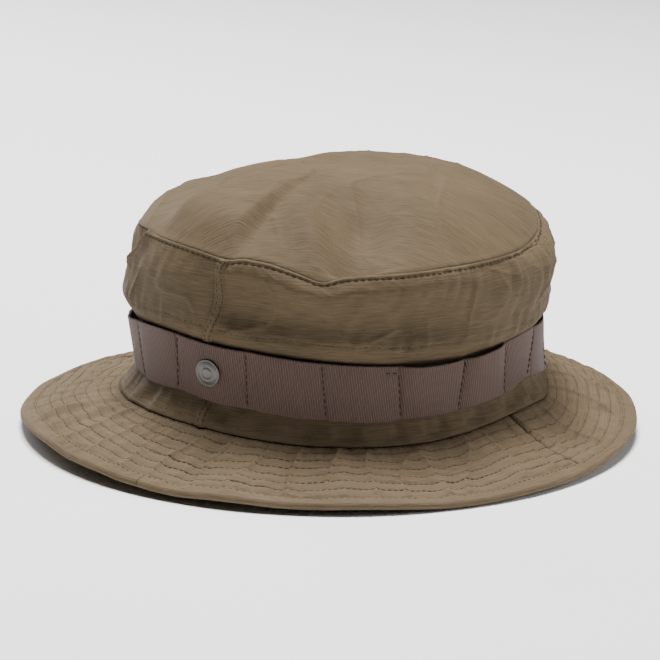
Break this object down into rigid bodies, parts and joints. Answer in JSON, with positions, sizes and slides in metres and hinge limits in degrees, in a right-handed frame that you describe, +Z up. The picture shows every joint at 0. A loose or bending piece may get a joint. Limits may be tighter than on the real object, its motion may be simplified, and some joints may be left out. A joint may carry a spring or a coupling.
{
  "type": "boonie hat",
  "caption": "Soft cloth bush hat with a domed crown, a stitched brim all round, a band of webbing loops and a plain metal badge; worn on the head against sun and rain.",
  "frame": {"origin": "on the surface that the hat stands on, under the middle of its outline", "axes": "+Z up through the crown, -Y to the front of the hat (the side with the badge), +X to the wearer's left"},
  "size_m": [0.275, 0.296, 0.1224],
  "materials": {
    "crown_cloth": "plain-woven cloth with fine cross ribs, matt",
    "brim_cloth": "plain-woven cloth with fine cross ribs, matt",
    "interlining": "stiff woven interlining, matt",
    "webbing": "fine ribbed nylon webbing, low sheen",
    "sweatband_cloth": "brushed cotton, matt",
    "thread": "twisted polyester thread",
    "label_cloth": "blank woven tape",
    "badge_metal": "dull grey plated metal"
  },
  "bodies": {
    "root": {"crown_top": "crown_cloth", "crown_side_left": "crown_cloth", "crown_side_right": "crown_cloth", "crown_top_stitches": "thread", "crown_hem_stitches": "thread", "felled_seam_stitches": "thread", "loop_webbing": "webbing", "webbing_stitches": "thread", "badge_cap": "badge_metal", "badge_washer": "badge_metal", "brim_top_front": "brim_cloth", "brim_top_rear": "brim_cloth", "brim_interlining_front": "interlining", "brim_interlining_rear": "interlining", "brim_under_front": "brim_cloth", "brim_under_rear": "brim_cloth", "brim_edge_binding": "brim_cloth", "brim_stitches": "thread", "binding_stitches": "thread", "sweatband": "sweatband_cloth", "sweatband_stitches": "thread", "size_label": "label_cloth", "size_label_stitches": "thread"}
  },
  "joints": []
}
